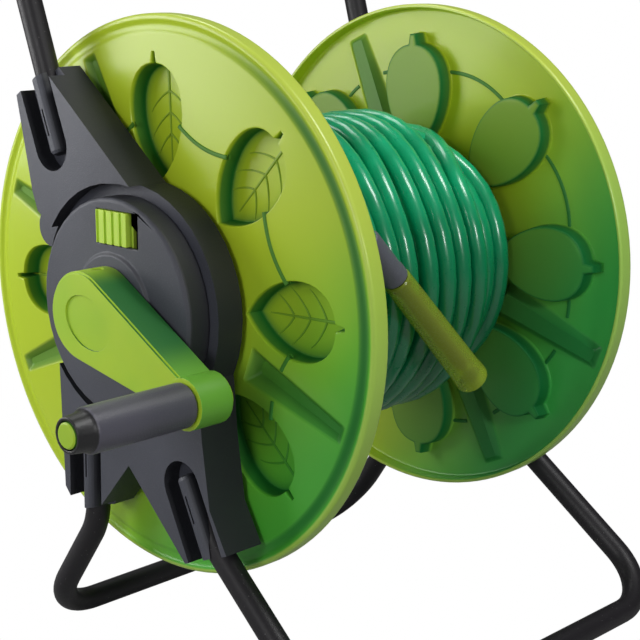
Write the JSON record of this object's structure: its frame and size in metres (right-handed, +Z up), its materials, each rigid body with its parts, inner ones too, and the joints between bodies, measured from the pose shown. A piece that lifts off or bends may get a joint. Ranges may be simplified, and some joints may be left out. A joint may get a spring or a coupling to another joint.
{
  "type": "garden hose reel",
  "caption": "Free-standing garden hose reel: crank-turned plastic drum with leaf-shaped recesses between two brackets on bent steel tube legs and handle, hose wound on, with jet nozzle.",
  "frame": {"origin": "on the floor, under the middle of the reel's outer box without its hose", "axes": "+Z up, +X along the drum's axle towards the water inlet, -Y towards the side of the wide front foot"},
  "size_m": [0.5412, 0.42, 0.61],
  "materials": {
    "lime_plastic": "translucent lime polypropylene, glossy, darker green at edges and in thick places",
    "charcoal_plastic": "moulded grey polypropylene with a satin surface",
    "white_acetal": "natural acetal, smooth",
    "hose_pvc": "glossy green hose",
    "coated_steel": "charcoal powder coat, semi-gloss",
    "zinc_steel": "bright zinc plate",
    "seal_rubber": "black nitrile rubber"
  },
  "bodies": {
    "frame": {"inlet_nipple": "lime_plastic", "bracket_crank_side": "charcoal_plastic", "bracket_inlet_side": "charcoal_plastic", "hub_cover_crank_side": "charcoal_plastic", "hub_cover_inlet_side": "charcoal_plastic", "inlet_elbow": "charcoal_plastic", "bush_crank_side": "white_acetal", "bush_inlet_side": "white_acetal", "handle_tube": "coated_steel", "front_leg_tube": "coated_steel", "rear_leg_tube": "coated_steel", "handle_screw_crank_side": "zinc_steel", "handle_screw_inlet_side": "zinc_steel", "front_leg_screw_crank_side": "zinc_steel", "front_leg_screw_inlet_side": "zinc_steel", "rear_leg_screw_crank_side": "zinc_steel", "rear_leg_screw_inlet_side": "zinc_steel", "spindle_seal_1": "seal_rubber", "spindle_seal_2": "seal_rubber"},
    "drum": {"flange_crank_side": "lime_plastic", "flange_inlet_side": "lime_plastic", "drum_core": "charcoal_plastic", "drive_shaft": "white_acetal", "water_spindle": "white_acetal", "outlet_elbow": "charcoal_plastic", "hose_inner_nut": "lime_plastic", "lock_ring": "charcoal_plastic", "hose_winding": "hose_pvc", "hose_lead": "hose_pvc", "hose_tail": "hose_pvc", "hose_end_connector": "charcoal_plastic", "nozzle_core": "charcoal_plastic", "crank_arm": "lime_plastic", "crank_screw": "zinc_steel"},
    "grip": {"grip_sleeve": "charcoal_plastic"},
    "lock": {"lock_button": "lime_plastic"},
    "nozzle": {"nozzle_sleeve": "lime_plastic"}
  },
  "joints": [
    {"name": "drum_spin", "type": "hinge", "parent": "frame", "child": "drum", "pos_m": [0.04535, 0.01, 0.271], "axis": [1, 0, 0], "continuous": true},
    {"name": "grip_spin", "type": "hinge", "parent": "drum", "child": "grip", "pos_m": [-0.22465, -0.095, 0.23], "axis": [1, 0, 0], "continuous": true},
    {"name": "lock_slide", "type": "slide", "parent": "frame", "child": "lock", "axis": [0, -1, 0], "range_m": [0, 0.009]},
    {"name": "nozzle_twist", "type": "hinge", "parent": "drum", "child": "nozzle", "pos_m": [-0.00344, -0.1226, 0.29077], "axis": [0.7046, 0, -0.7096], "range_deg": [0, 270]}
  ]
}
